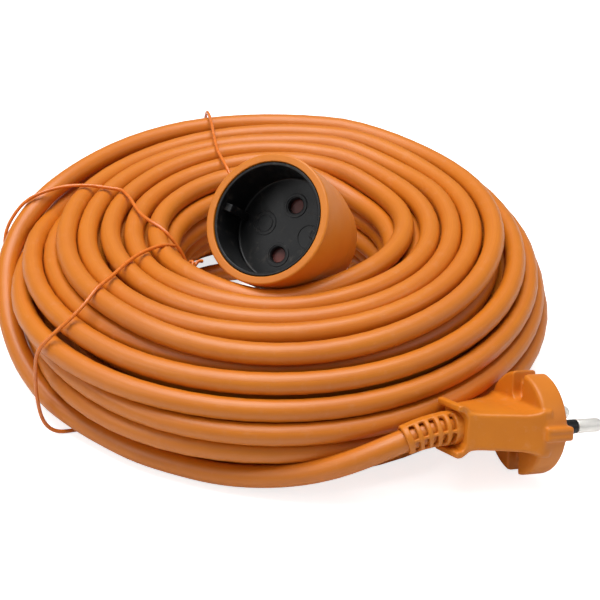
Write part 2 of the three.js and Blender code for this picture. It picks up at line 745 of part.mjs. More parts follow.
export default assembly;
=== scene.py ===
# %% [markdown]
# # Extension cord: a tied hank with its plug and its socket
#
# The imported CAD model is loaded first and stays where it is. Everything that is made here lies in
# the same frame, in metres. CAD pieces inside the fittings only get a material, and the pieces that
# show are rebuilt with rounder edges and finer details in the same places.

import json
import math

import bmesh
import bpy
import numpy as np
from mathutils import Euler, Matrix, Vector
from mathutils.geometry import convex_hull_2d

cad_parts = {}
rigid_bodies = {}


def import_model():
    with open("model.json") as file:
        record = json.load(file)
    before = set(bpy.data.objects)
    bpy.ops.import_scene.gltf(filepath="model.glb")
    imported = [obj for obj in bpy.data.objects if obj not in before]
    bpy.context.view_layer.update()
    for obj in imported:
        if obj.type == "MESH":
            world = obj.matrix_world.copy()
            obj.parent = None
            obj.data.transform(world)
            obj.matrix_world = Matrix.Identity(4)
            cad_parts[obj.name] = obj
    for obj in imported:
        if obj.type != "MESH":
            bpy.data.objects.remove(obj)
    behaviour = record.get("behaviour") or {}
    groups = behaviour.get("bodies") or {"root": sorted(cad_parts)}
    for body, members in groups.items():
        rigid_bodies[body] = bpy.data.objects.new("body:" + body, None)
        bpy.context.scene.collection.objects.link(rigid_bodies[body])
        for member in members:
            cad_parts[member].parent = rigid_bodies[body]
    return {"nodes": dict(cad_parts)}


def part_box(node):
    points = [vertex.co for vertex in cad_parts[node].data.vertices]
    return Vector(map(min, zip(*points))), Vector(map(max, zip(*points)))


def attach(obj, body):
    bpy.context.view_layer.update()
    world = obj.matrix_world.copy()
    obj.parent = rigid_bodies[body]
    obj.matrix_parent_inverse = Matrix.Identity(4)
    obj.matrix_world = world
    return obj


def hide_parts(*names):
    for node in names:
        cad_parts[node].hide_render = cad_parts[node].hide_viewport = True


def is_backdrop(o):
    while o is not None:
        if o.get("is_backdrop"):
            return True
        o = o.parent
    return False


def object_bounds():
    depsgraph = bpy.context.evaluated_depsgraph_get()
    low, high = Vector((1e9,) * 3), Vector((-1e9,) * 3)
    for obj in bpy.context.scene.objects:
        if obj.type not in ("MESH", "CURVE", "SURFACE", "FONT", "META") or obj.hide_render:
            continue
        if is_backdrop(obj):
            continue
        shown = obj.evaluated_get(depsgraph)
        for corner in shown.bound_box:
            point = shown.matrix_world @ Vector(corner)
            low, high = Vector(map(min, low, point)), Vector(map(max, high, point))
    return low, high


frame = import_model()
cad_bounds = [list(corner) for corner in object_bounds()]
MM = 0.001
coil_low, coil_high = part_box("cable_coil")
HANK_CENTRE = Vector(((coil_low.x + coil_high.x) / 2, (coil_low.y + coil_high.y) / 2, 0))
print("hank stands at", [round(value / MM, 2) for value in HANK_CENTRE])

# %% [markdown]
# ## Camera
#
# A product view from in front and 33 degrees above the floor, about half a metre away. So near a
# camera makes the front turns look larger than the back ones, which a long lens would hide.

# %% camera
CAMERA_TILT = 33.145
camera_data = bpy.data.cameras.new("camera")
camera_data.lens = 81.4
camera_data.sensor_width = 36
camera_data.clip_start = 0.01
camera = bpy.data.objects.new("camera", camera_data)
camera.location = HANK_CENTRE + Vector((7.36, -447.07, 304.67)) * MM
camera.rotation_euler = (math.radians(90 - CAMERA_TILT), 0, 0)
bpy.context.scene.collection.objects.link(camera)
bpy.context.scene.camera = camera

# %% [markdown]
# ## Where the fittings lie
#
# The plug and the socket are turned in space, so each gets a matrix that takes its own millimetre
# axes to the frame. The plug's X runs along its pins and its Y along their row. The socket's Z
# points out of its recess and its X runs along the row of holes.

# %% frames of the plug and the socket


def placed(origin, roll, pitch, heading):
    turn = Euler((math.radians(roll), math.radians(pitch), math.radians(heading)), "XYZ")
    place = Matrix.Translation(HANK_CENTRE + Vector(origin) * MM)
    return place @ turn.to_matrix().to_4x4() @ Matrix.Scale(MM, 4)


FLANGE_RADIUS = 17.6
FLANGE_THICKNESS = 9.1
PLUG_PITCH = 12
plug_height = (
    FLANGE_RADIUS * math.cos(math.radians(PLUG_PITCH))
    + FLANGE_THICKNESS * math.sin(math.radians(PLUG_PITCH))
    + 0.1
)
PLUG_BEARING = math.radians(-47)
PLUG_DISTANCE = 117.45
PLUG = placed(
    (PLUG_DISTANCE * math.cos(PLUG_BEARING), PLUG_DISTANCE * math.sin(PLUG_BEARING), plug_height),
    -22.2, PLUG_PITCH, 21.4,
)
SOCKET = placed((-4.6, -33, 68.5), 0, -49.6, 57.4)

CABLE_RADIUS = 3.85
PLUG_GRIP_LENGTH = 23.3
PLUG_RELIEF_LENGTH = 19
SOCKET_LENGTH = 50
SOCKET_RELIEF_LENGTH = 21
plug_relief = PLUG @ Matrix.Translation((-PLUG_GRIP_LENGTH, 0, 0))
socket_relief = SOCKET @ Matrix.Translation((0, 0, -SOCKET_LENGTH)) @ Matrix.Rotation(-math.pi / 2, 4, "Y")


def bent(point, radius, towards):
    """Past X = 0 the X axis follows an arc towards a direction in the YZ plane."""
    point = Vector(point)
    if point.x >= 0:
        return point
    towards = Vector((0, *towards)).normalized()
    across = Vector((1, 0, 0)).cross(towards)
    angle = -point.x / radius
    inward = Vector((math.sin(angle), 0, 0)) + towards * math.cos(angle)
    arc = Vector((-radius * math.sin(angle), 0, 0)) + towards * (radius * (1 - math.cos(angle)))
    return arc + inward * point.dot(towards) + across * point.dot(across)


PLUG_BEND = (44, (0.38, -0.925))
SOCKET_BEND = (33, (1, 0))

# %% [markdown]
# ## The cable's route
#
# Twenty metres of round cable are wound into a hank about 200 mm across. A ring with grooves drawn
# on it would repeat itself all round and would have no crossings, so the cable is laid as one
# real line. Each turn gets a slot in the hank's section. The line moves from slot to slot at the
# back, and seeded waves move each turn a little. Then the turns push each other apart in every
# section until none lies in another, and the line is smoothed as a stiff cable smooths itself.

# %% slots of the turns
STATIONS = 64
START_HEADING = 157.0
TURNS = 45
DIAMETER = 2 * CABLE_RADIUS
step = -360 / STATIONS
last_station = TURNS * STATIONS + 10

# Each layer of turns from the top down: how many, nearest and farthest from the middle, height.
layers = [
    (5, 46.4, 80.8, 44.8),
    (6, 42.6, 89.0, 38.4),
    (7, 41.8, 95.5, 31.4),
    (7, 41.8, 98.0, 24.4),
    (7, 42.8, 98.2, 17.4),
    (7, 46.0, 95.0, 10.6),
    (6, 52.0, 91.0, 3.9),
]
slots = []
for index, (count, near, far, height) in enumerate(layers):
    radii = np.linspace(far, near, count) if index % 2 == 0 else np.linspace(near, far, count)
    slots += [(radius, height) for radius in radii]
slots = np.array(slots)
layer_of_slot = np.repeat(np.arange(len(layers)), [layer[0] for layer in layers])
print("slots in the section", len(slots))


def smooth_share(x):
    x = np.clip(x, 0, 1)
    return x * x * (3 - 2 * x)


def bump(headings, middle, half_width):
    """1 at a heading and 0 beyond half a width from it."""
    away = np.abs((headings - middle + 180) % 360 - 180)
    return smooth_share(1 - away / half_width)


# %% target line of the wound cable
index = np.arange(last_station + 1)
heading = START_HEADING + step * index
turn = index // STATIONS
station = index % STATIONS
moved = smooth_share((station - 10) / 12.0)
before = slots[np.clip(turn - 1, 0, len(slots) - 1)]
after = slots[np.clip(turn, 0, len(slots) - 1)]
target = before + (after - before) * moved[:, None]

random = np.random.default_rng(7)
for harmonic, size in ((1, 0.8), (2, 0.7), (3, 0.4)):
    phase = random.uniform(0, 2 * math.pi, (TURNS + 1, 2))
    size_here = size * random.uniform(0.3, 1, (TURNS + 1, 2))
    angle = np.radians(heading * harmonic)[:, None] + phase[turn]
    target = target + size_here[turn] * np.sin(angle)

# Two outer turns of the upper layers stand up and off on the left and in front of it, the outermost
# upper turn sags at the front, and at the back left the lower turns start farther from the middle.
slot_number = np.clip(np.where(moved > 0.5, turn, turn - 1), 0, len(slots) - 1)
outer_pair = np.isin(slot_number, (9, 10, 11))
target[:, 0] += np.where(outer_pair, 6.0 * bump(heading, 195, 80), 0)
target[:, 1] += np.where(outer_pair, 3.0 * bump(heading, 185, 70), 0)
upper_outer = slot_number == 0
target[:, 1] -= np.where(upper_outer, 3.6 * bump(heading, -90, 60), 0)
layer = layer_of_slot[slot_number]
undercut = np.array([0, 0, 0, 2, 6, 11, 14])[layer]
share_out = (target[:, 0] - 42) / 56
target[:, 0] += undercut * (1 - share_out) * bump(heading, 132, 85)
target[:, 0] += np.where(layer > 1, 2.5, 0) * share_out * bump(heading, 132, 85)
print("stations along the winding", len(target))

# %% [markdown]
# The plug's lead and the socket's lead are laid through listed points, because they show and rest
# on the floor and on the hank. The wound line starts where the one ends and ends where the other starts.

# %% leads
plug_lead_stops = [
    (34.2, -103.9, 22.4), (26, -105.5, 18.8), (17, -105.2, 14.6), (8, -103.4, 10.9), (-2, -101, 8.1),
    (-14, -98.5, 6.4), (-27, -94.2, 5.8), (-47, -85.6, 5.9), (-63, -74.8, 6.3), (-76, -65, 8.2),
    (-84.5, -57.4, 11.4), (-94.2, -44.4, 17.6), (-101.5, -26.5, 25.5), (-104.4, -7, 32),
    (-102.4, 6, 37.6), (-98, 14.5, 42.8), (-92.6, 24.4, 46.6), (-85, 36, 48.4),
]
socket_lead_stops = [
    (17.6, 21.6, 15.6), (13.6, 26.6, 10.6), (7.9, 31, 6.6), (0.6, 34.6, 4.6), (-7.5, 36.6, 4.1),
]


def relief_line(matrix, bend, length, inner):
    """The cable's middle line through a strain relief, in the hank's millimetres."""
    stations = [inner, inner / 2, 0, -length / 3, -2 * length / 3, -length]
    return [(matrix @ bent((x, 0, 0), *bend) - HANK_CENTRE) / MM for x in stations]


def spaced(points, spacing):
    """Points at an even spacing on a smooth curve through the given points."""
    points = np.array([tuple(point) for point in points], float)
    padded = np.vstack([2 * points[0] - points[1], points, 2 * points[-1] - points[-2]])
    fine = []
    for a, b, c, d in zip(padded, padded[1:], padded[2:], padded[3:]):
        for t in np.linspace(0, 1, 24, endpoint=False):
            bend_part = (2 * a - 5 * b + 4 * c - d) * t**2
            twist_part = (3 * b - a - 3 * c + d) * t**3
            fine.append(0.5 * (2 * b + (c - a) * t + bend_part + twist_part))
    fine = np.array(fine + [points[-1]])
    along = np.concatenate([[0], np.cumsum(np.linalg.norm(np.diff(fine, axis=0), axis=1))])
    wanted = np.linspace(0, along[-1], max(2, int(along[-1] / spacing) + 1))
    return np.stack([np.interp(wanted, along, fine[:, axis]) for axis in range(3)], axis=1)


plug_lead = spaced(relief_line(plug_relief, PLUG_BEND, PLUG_RELIEF_LENGTH, 5.3) + plug_lead_stops, 4)
socket_relief_line = relief_line(socket_relief, SOCKET_BEND, SOCKET_RELIEF_LENGTH, 3.5)
socket_lead = spaced(socket_relief_line + socket_lead_stops, 4)
print("leads have", len(plug_lead), "and", len(socket_lead), "points")


def section_place(points):
    """Heading in degrees, radius and height of points about the hank's axis."""
    points = np.asarray(points)
    return (
        np.degrees(np.arctan2(points[:, 1], points[:, 0])),
        np.hypot(points[:, 0], points[:, 1]),
        points[:, 2],
    )


# %% [markdown]
# Both ends of the wound line are pinned to the leads. In between, each round of the loop pulls the
# line a little towards its slots, smooths it, pushes touching turns apart in each of the 64
# sections, and keeps it above the floor and out of the socket and the plug's lead. The bends next
# to the fittings and where the line meets its leads are eased at the end.

# %% settle the turns
_, start_radius, start_height = section_place(plug_lead[-1:])
_, end_radius, end_height = section_place(socket_lead[-1:])
start = np.array([start_radius[0], start_height[0]])
end = np.array([end_radius[0], end_height[0]])
ease = smooth_share(index / 26.0)[:, None]
target = start + (target - start) * ease
ease = smooth_share((last_station - index) / 10.0)[:, None]
target = end + (target - end) * ease

lead_heading, lead_radius, lead_height = section_place(plug_lead)
socket_origin = (SOCKET @ Vector((0, 0, 0)) - HANK_CENTRE) / MM
socket_axis = np.array((SOCKET.to_3x3() @ Vector((0, 0, 1))).normalized())
rows = TURNS + 1
in_use = np.zeros((rows, STATIONS), bool)
in_use[turn, station] = True
station_angle = np.radians(START_HEADING + step * np.arange(STATIONS))
lead_circles = np.full((STATIONS, 2), -500.0)
for k in range(STATIONS):
    away = np.abs((lead_heading - math.degrees(station_angle[k]) + 180) % 360 - 180)
    nearest = int(np.argmin(away))
    if away[nearest] < 3 and nearest > 6 and nearest < len(plug_lead) - 3:
        lead_circles[k] = lead_radius[nearest], lead_height[nearest]


def smoothed(line, amount):
    out = line.copy()
    out[2:-2] = (
        (1 - amount) * line[2:-2]
        + amount * (4 * (line[1:-3] + line[3:-1]) - line[:-4] - line[4:]) / 6
    )
    middle = (line[:-2] + line[2:]) / 2
    out[1:-1] += 0.35 * amount * (middle - line[1:-1])
    return out


def pushed_apart(line, strength):
    """Moves turns out of each other, out of the plug's lead and out of the socket."""
    grid = np.full((rows, STATIONS, 2), 1000.0)
    grid[:, :, 0] += np.arange(rows)[:, None] * 100.0
    grid[turn, station] = line
    across = grid.transpose(1, 0, 2)
    apart = across[:, :, None] - across[:, None]
    distance = np.linalg.norm(apart, axis=3) + np.eye(rows) * 1000
    overlap = np.clip(DIAMETER + 0.12 - distance, 0, None)
    push = (apart / distance[..., None] * overlap[..., None] * 0.5).sum(2)
    from_lead = across - lead_circles[:, None]
    lead_distance = np.linalg.norm(from_lead, axis=2)
    lead_overlap = np.clip(DIAMETER + 0.3 - lead_distance, 0, None)
    push += from_lead / lead_distance[..., None] * lead_overlap[..., None]
    east = across[..., 0] * np.cos(station_angle)[:, None]
    north = across[..., 0] * np.sin(station_angle)[:, None]
    offset = np.stack([east, north, across[..., 1]], axis=2) - np.array(socket_origin)
    along = offset @ socket_axis
    out = offset - along[..., None] * socket_axis
    reach = np.linalg.norm(out, axis=2)
    shell = np.where(along > -36, 24.2, 24.2 - 0.8 * (-36 - along)) + CABLE_RADIUS
    inside = np.where((along < 4) & (along > -50), np.clip(shell - reach, 0, None), 0)
    shove = out / reach[..., None] * inside[..., None]
    outward = np.stack([np.cos(station_angle), np.sin(station_angle)], axis=1)
    push[..., 0] += np.einsum("sri,si->sr", shove[..., :2], outward)
    push[..., 1] += shove[..., 2]
    moved_grid = across + strength * push
    moved_line = moved_grid.transpose(1, 0, 2)[turn, station]
    moved_line[:, 1] = np.maximum(moved_line[:, 1], CABLE_RADIUS + 0.05)
    moved_line[0], moved_line[-1] = line[0], line[-1]
    return moved_line, overlap.max()


line = target.copy()
ROUNDS = 420
for round_number in range(ROUNDS):
    share = round_number / ROUNDS
    line = line + 0.05 * (1 - share) * (target - line)
    line = smoothed(line, 0.5 * (1 - 0.75 * share))
    line[0], line[-1] = start, end
    for _ in range(2):
        line, worst = pushed_apart(line, 0.55)
print("deepest overlap left between turns, mm", round(float(worst), 3))

wound = np.stack(
    [line[:, 0] * np.cos(np.radians(heading)), line[:, 0] * np.sin(np.radians(heading)), line[:, 1]], axis=1
)
route = np.vstack([plug_lead[:-1], wound, socket_lead[::-1][1:]])
# Stretches where the bend is eased: below the plug's relief, where its lead joins the hank, and
# where the last turn climbs into the socket's lead.
eased_stretches = [
    (3, 26, 14),
    (len(plug_lead) - 8, len(plug_lead) + 7, 6),
    (len(route) - len(socket_lead) - 34, len(route) - 3, 40),
]
for low, high, passes in eased_stretches:
    fade = np.sin(np.linspace(0, math.pi, high - low))[:, None]
    for _ in range(passes):
        middle = (route[low - 1 : high - 1] + route[low + 1 : high + 1]) / 2
        route[low:high] += 0.5 * fade * (middle - route[low:high])
route_m = route[::-1] * MM + np.array(HANK_CENTRE)
lengths = np.linalg.norm(np.diff(route_m, axis=0), axis=1)
CABLE_LENGTH = float(lengths.sum())
print("cable length, m", round(CABLE_LENGTH, 3), "in", len(route_m), "points")
print("top of the hank, mm", round(line[:, 1].max() + CABLE_RADIUS, 1))

# %% [markdown]
# ## The cable as a piece
#
# The route becomes a curve with a round bevel, which keeps the tube from twisting, and is then made
# a mesh so that its own UV map can run in metres along the sheath.

# %% cable
scene_objects = bpy.context.scene.collection.objects


def tube_from(name, points, radius, resolution):
    curve = bpy.data.curves.new(name, "CURVE")
    curve.dimensions = "3D"
    curve.bevel_depth = radius
    curve.bevel_resolution = resolution
    curve.use_fill_caps = True
    spline = curve.splines.new("POLY")
    spline.points.add(len(points) - 1)
    spline.points.foreach_set("co", np.hstack([points, np.ones((len(points), 1))]).ravel())
    holder = bpy.data.objects.new(name + "_curve", curve)
    scene_objects.link(holder)
    evaluated = holder.evaluated_get(bpy.context.evaluated_depsgraph_get())
    mesh = bpy.data.meshes.new_from_object(evaluated)
    bpy.data.objects.remove(holder)
    mesh.name = name
    mesh.shade_smooth()
    return mesh


cable_mesh = tube_from("cable", route_m, CABLE_RADIUS * MM, 4)
cable_mesh.materials.clear()
cable = bpy.data.objects.new("cable", cable_mesh)
scene_objects.link(cable)
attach(cable, "root")
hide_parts("cable_coil", "cable_lead_plug", "cable_lead_socket")
print("cable has", len(cable_mesh.polygons), "faces, UV maps", [layer.name for layer in cable_mesh.uv_layers])

# %% [markdown]
# ## Finishes
#
# All the mouldings share one effect: soft mottling of the colour, a fine grain and a few faint
# rubbed marks. It is one shader group with its own values in each material. It only puts out
# colour, roughness and a normal, and the shader itself stays in the material.

# %% group of the moulded surface


def node_group(name, inputs, outputs):
    group = bpy.data.node_groups.new(name, "ShaderNodeTree")
    for label, kind, value in inputs:
        socket = group.interface.new_socket(label, in_out="INPUT", socket_type=kind)
        socket.default_value = value
    for label, kind in outputs:
        group.interface.new_socket(label, in_out="OUTPUT", socket_type=kind)
    return group, group.nodes.new("NodeGroupInput"), group.nodes.new("NodeGroupOutput")


def noise(tree, vector, scale, detail=3.0, roughness=0.55):
    node = tree.nodes.new("ShaderNodeTexNoise")
    node.inputs["Detail"].default_value = detail
    node.inputs["Roughness"].default_value = roughness
    if isinstance(scale, (int, float)):
        node.inputs["Scale"].default_value = scale
    else:
        tree.links.new(scale, node.inputs["Scale"])
    tree.links.new(vector, node.inputs["Vector"])
    return node.outputs["Fac"]


def maths(tree, operation, *values):
    node = tree.nodes.new("ShaderNodeMath")
    node.operation = operation
    for socket, value in zip(node.inputs, values):
        if isinstance(value, (int, float)):
            socket.default_value = value
        else:
            tree.links.new(value, socket)
    return node.outputs[0]


def remap(tree, value, low, high, to_low, to_high):
    node = tree.nodes.new("ShaderNodeMapRange")
    tree.links.new(value, node.inputs["Value"])
    for label, amount in (("From Min", low), ("From Max", high), ("To Min", to_low), ("To Max", to_high)):
        if isinstance(amount, (int, float)):
            node.inputs[label].default_value = amount
        else:
            tree.links.new(amount, node.inputs[label])
    return node.outputs["Result"]


def mix(tree, factor, first, second, blend="MIX"):
    node = tree.nodes.new("ShaderNodeMix")
    node.data_type = "RGBA"
    node.blend_type = blend
    for socket, value in ((node.inputs[0], factor), (node.inputs[6], first), (node.inputs[7], second)):
        if isinstance(value, (int, float)):
            socket.default_value = value
        elif isinstance(value, tuple):
            socket.default_value = value
        else:
            tree.links.new(value, socket)
    return node.outputs[2]


def bump_of(tree, height, distance, strength=1.0):
    node = tree.nodes.new("ShaderNodeBump")
    node.inputs["Distance"].default_value = distance
    if isinstance(strength, (int, float)):
        node.inputs["Strength"].default_value = strength
    else:
        tree.links.new(strength, node.inputs["Strength"])
    tree.links.new(height, node.inputs["Height"])
    return node


surface_inputs = [
    ("Colour", "NodeSocketColor", (0.5, 0.5, 0.5, 1)),
    ("Deep Colour", "NodeSocketColor", (0.4, 0.4, 0.4, 1)),
    ("Mottle", "NodeSocketFloat", 0.5),
    ("Mottle Scale", "NodeSocketFloat", 40.0),
    ("Grain Scale", "NodeSocketFloat", 2500.0),
    ("Grain", "NodeSocketFloat", 0.2),
    ("Roughness", "NodeSocketFloat", 0.4),
    ("Rubbed", "NodeSocketFloat", 0.15),
]
surface_outputs = [
    ("Color", "NodeSocketColor"), ("Roughness", "NodeSocketFloat"), ("Normal", "NodeSocketVector"),
]
moulded, group_in, group_out = node_group("moulded_surface", surface_inputs, surface_outputs)
where = moulded.nodes.new("ShaderNodeTexCoord").outputs["Object"]
mottle = noise(moulded, where, group_in.outputs["Mottle Scale"], 4)
share = maths(moulded, "MULTIPLY", remap(moulded, mottle, 0.3, 0.72, 0, 1), group_in.outputs["Mottle"])
tinted = mix(moulded, share, group_in.outputs["Colour"], group_in.outputs["Deep Colour"])
rub_marks = noise(moulded, where, 260, 5, 0.7)
rubbed = remap(moulded, rub_marks, 0.56, 0.74, 0, 1)
pale = mix(moulded, maths(moulded, "MULTIPLY", rubbed, 0.05), tinted, (1, 0.86, 0.7, 1))
moulded.links.new(pale, group_out.inputs["Color"])
rough = maths(moulded, "MULTIPLY_ADD", rubbed, group_in.outputs["Rubbed"], group_in.outputs["Roughness"])
rough = maths(moulded, "MULTIPLY_ADD", maths(moulded, "SUBTRACT", mottle, 0.5), 0.14, rough)
moulded.links.new(rough, group_out.inputs["Roughness"])
grain = noise(moulded, where, group_in.outputs["Grain Scale"], 2)
grained = bump_of(moulded, grain, 0.00006, group_in.outputs["Grain"])
moulded.links.new(grained.outputs[0], group_out.inputs["Normal"])
print("surface group has", len(moulded.nodes), "nodes")

# %% [markdown]
# A material takes the group's three outputs. Values that are the same all over, such as the
# specular level, are set on the shader.

# %% plastic materials


def new_material(name):
    material = bpy.data.materials.new(name)
    material.use_nodes = True
    return material, material.node_tree, material.node_tree.nodes["Principled BSDF"]


def plastic(name, colour, deep, specular=0.5, **values):
    material, tree, shader = new_material(name)
    group = tree.nodes.new("ShaderNodeGroup")
    group.node_tree = moulded
    group.inputs["Colour"].default_value = (*colour, 1)
    group.inputs["Deep Colour"].default_value = (*deep, 1)
    for label, value in values.items():
        group.inputs[label.replace("_", " ").title()].default_value = value
    tree.links.new(group.outputs["Color"], shader.inputs["Base Color"])
    tree.links.new(group.outputs["Roughness"], shader.inputs["Roughness"])
    tree.links.new(group.outputs["Normal"], shader.inputs["Normal"])
    shader.inputs["Specular IOR Level"].default_value = specular
    return material, tree, shader, group


moulding, *_ = plastic(
    "orange moulding", (0.66, 0.200, 0.010), (0.56, 0.150, 0.007), specular=0.45,
    roughness=0.43, grain=0.22, mottle=0.6, mottle_scale=55,
)
black_moulding, *_ = plastic(
    "black plastic", (0.0045, 0.0047, 0.0052), (0.008, 0.008, 0.009), specular=0.32,
    roughness=0.38, grain=0.3, mottle=0.7, mottle_scale=90, rubbed=0.2,
)
shutter_material, *_ = plastic(
    "red-brown shutter", (0.16, 0.03, 0.02), (0.1, 0.02, 0.015), roughness=0.42, grain=0.2,
)
ivory, *_ = plastic("ivory plastic", (0.6, 0.55, 0.42), (0.52, 0.46, 0.33), roughness=0.45, grain=0.25)
brown_core, *_ = plastic("brown core", (0.12, 0.05, 0.024), (0.08, 0.034, 0.016), roughness=0.35)
blue_core, *_ = plastic("blue core", (0.025, 0.1, 0.42), (0.018, 0.07, 0.32), roughness=0.35)
string_material, *_ = plastic(
    "orange string", (0.76, 0.2, 0.02), (0.62, 0.13, 0.012), specular=0.6,
    roughness=0.24, grain=0.5, mottle=0.8, mottle_scale=500, grain_scale=1800.0,
)

# %% [markdown]
# The sheath is the same soft plastic with marks that follow the cable: faint lines drawn along it by
# the extruder's die, and slow changes of colour and gloss along its length. They read the UV map,
# where U runs along the cable and V round it.

# %% cable material
cable_material, cable_tree, cable_shader, cable_group = plastic(
    "orange sheath", (0.64, 0.190, 0.008), (0.53, 0.134, 0.005), specular=0.55,
    roughness=0.42, grain=0.16, mottle=0.5, mottle_scale=30,
)
along_round = cable_tree.nodes.new("ShaderNodeUVMap")
split = cable_tree.nodes.new("ShaderNodeSeparateXYZ")
cable_tree.links.new(along_round.outputs["UV"], split.inputs[0])
join_uv = cable_tree.nodes.new("ShaderNodeCombineXYZ")
cable_tree.links.new(maths(cable_tree, "MULTIPLY", split.outputs[0], CABLE_LENGTH * 9), join_uv.inputs[0])
turn_round = maths(cable_tree, "MULTIPLY", split.outputs[1], 2 * math.pi)
for place_in, operation in ((1, "COSINE"), (2, "SINE")):
    around = maths(cable_tree, "MULTIPLY", maths(cable_tree, operation, turn_round), 5.0)
    cable_tree.links.new(around, join_uv.inputs[place_in])
drawn = noise(cable_tree, join_uv.outputs[0], 1.6, 5, 0.65)
line_strength = remap(cable_tree, drawn, 0.35, 0.7, 0, 0.38)
lined = mix(cable_tree, line_strength, cable_group.outputs["Color"], (0.54, 0.124, 0.006, 1))
cable_tree.links.new(lined, cable_shader.inputs["Base Color"])
uneven = maths(cable_tree, "SUBTRACT", drawn, 0.5)
gloss = maths(cable_tree, "MULTIPLY_ADD", uneven, 0.22, cable_group.outputs["Roughness"])
cable_tree.links.new(gloss, cable_shader.inputs["Roughness"])
die_lines = bump_of(cable_tree, drawn, 0.00012, 0.35)
cable_tree.links.new(cable_group.outputs["Normal"], die_lines.inputs["Normal"])
cable_tree.links.new(die_lines.outputs[0], cable_shader.inputs["Normal"])
cable_mesh.materials.append(cable_material)

# %% [markdown]
# The pins are plated and slightly brushed along their length. The contacts are pressed brass and
# the return spring is bright steel, which nobody sees until the socket is taken apart.

# %% metal materials


def metal(name, colour, worn, roughness, scale):
    material, tree, shader = new_material(name)
    spot = tree.nodes.new("ShaderNodeTexCoord").outputs["Object"]
    cloud = noise(tree, spot, scale, 4)
    tree.links.new(mix(tree, remap(tree, cloud, 0.35, 0.7, 0, 1), colour, worn), shader.inputs["Base Color"])
    rubbed = remap(tree, noise(tree, spot, scale * 6, 3), 0.3, 0.7, roughness - 0.07, roughness + 0.1)
    tree.links.new(rubbed, shader.inputs["Roughness"])
    brushed = bump_of(tree, noise(tree, spot, scale * 14, 2), 0.00002, 0.25)
    tree.links.new(brushed.outputs[0], shader.inputs["Normal"])
    shader.inputs["Metallic"].default_value = 1.0
    return material


nickel = metal("nickel plate", (0.95, 0.93, 0.89, 1), (0.89, 0.87, 0.82, 1), 0.55, 300)
brass = metal("pressed brass", (0.72, 0.5, 0.2, 1), (0.55, 0.36, 0.13, 1), 0.3, 260)
spring_steel = metal("spring steel", (0.55, 0.56, 0.57, 1), (0.45, 0.46, 0.47, 1), 0.28, 500)

# %% [markdown]
# ## Helpers for turned and rounded pieces
#
# Round plastic parts are made by spinning a profile once round its axis, as on a lathe. A corner of
# a profile is given a radius and becomes a short arc, because a moulded edge is never sharp and its
# highlight is what makes it look like plastic.

# %% turned pieces


def rounded(corners, closed=False):
    """Profile points where each corner (across, along, radius) with a radius becomes an arc."""
    points = []
    count = len(corners)
    for i, (across, along, radius) in enumerate(corners):
        corner = Vector((across, along))
        if radius == 0 or (not closed and i in (0, count - 1)):
            points.append(corner)
            continue
        back = (Vector(corners[i - 1][:2]) - corner).normalized()
        ahead = (Vector(corners[(i + 1) % count][:2]) - corner).normalized()
        half = back.angle(ahead) / 2
        centre = corner + (back + ahead).normalized() * (radius / math.sin(half))
        first = corner + back * (radius / math.tan(half)) - centre
        last = corner + ahead * (radius / math.tan(half)) - centre
        for share in (0, 0.25, 0.5, 0.75, 1):
            points.append(centre + first.lerp(last, share).normalized() * radius)
    return points


def turned(profile, axis="Z", steps=96, closed=False):
    """A profile of (radius, height) points spun about an axis, with its faces outward."""
    shape = bmesh.new()
    verts = [shape.verts.new((radius, 0, height)) for radius, height in profile]
    pairs = list(zip(verts, verts[1:])) + ([(verts[-1], verts[0])] if closed else [])
    edges = [shape.edges.new(pair) for pair in pairs]
    bmesh.ops.spin(
        shape, geom=verts + edges, cent=(0, 0, 0), axis=(0, 0, 1), angle=2 * math.pi,
        steps=steps, use_merge=True,
    )
    bmesh.ops.remove_doubles(shape, verts=shape.verts, dist=1e-4)
    bmesh.ops.recalc_face_normals(shape, faces=shape.faces)
    if axis == "X":
        on_its_side = Matrix.Rotation(math.pi / 2, 3, "Y")
        bmesh.ops.rotate(shape, verts=shape.verts, cent=(0, 0, 0), matrix=on_its_side)
    return shape


def block(low, high, edge=0.0, segments=3):
    """A box between two corners with rounded edges."""
    shape = bmesh.new()
    bmesh.ops.create_cube(shape, size=1)
    size = Vector(high) - Vector(low)
    bmesh.ops.scale(shape, verts=shape.verts, vec=size)
    bmesh.ops.translate(shape, verts=shape.verts, vec=(Vector(low) + Vector(high)) / 2)
    if edge:
        bmesh.ops.bevel(
            shape, geom=shape.edges[:], offset=edge, segments=segments, affect="EDGES", profile=0.5,
            material=-1,
        )
    return shape


def mesh_of(name, *shapes, matrix=None):
    """One mesh from several bmeshes, with its place in it."""
    mesh = bpy.data.meshes.new(name)
    whole = bmesh.new()
    for shape in shapes:
        part = bpy.data.meshes.new("part")
        shape.to_mesh(part)
        shape.free()
        whole.from_mesh(part)
        bpy.data.meshes.remove(part)
    if matrix is not None:
        whole.transform(matrix)
    whole.to_mesh(mesh)
    whole.free()
    return mesh


def smooth_piece(name, mesh, material, node=None, body="root", angle=32):
    mesh.shade_smooth()
    mesh.set_sharp_from_angle(angle=math.radians(angle))
    mesh.materials.clear()
    mesh.materials.append(material)
    piece = bpy.data.objects.new(name, mesh)
    scene_objects.link(piece)
    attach(piece, body)
    if node:
        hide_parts(node)
    print(name, len(mesh.polygons), "faces")
    return piece


# %% [markdown]
# ## The moulded plug
#
# The plug is one PVC moulding with no sharp edge anywhere. Its flange, grip and keys are separate
# solids that overlap, the notches are cut with round-bottomed cutters, and a voxel remesh then
# joins everything and melts the inner corners together, as they are in a mould.

# %% joining solids into one moulding


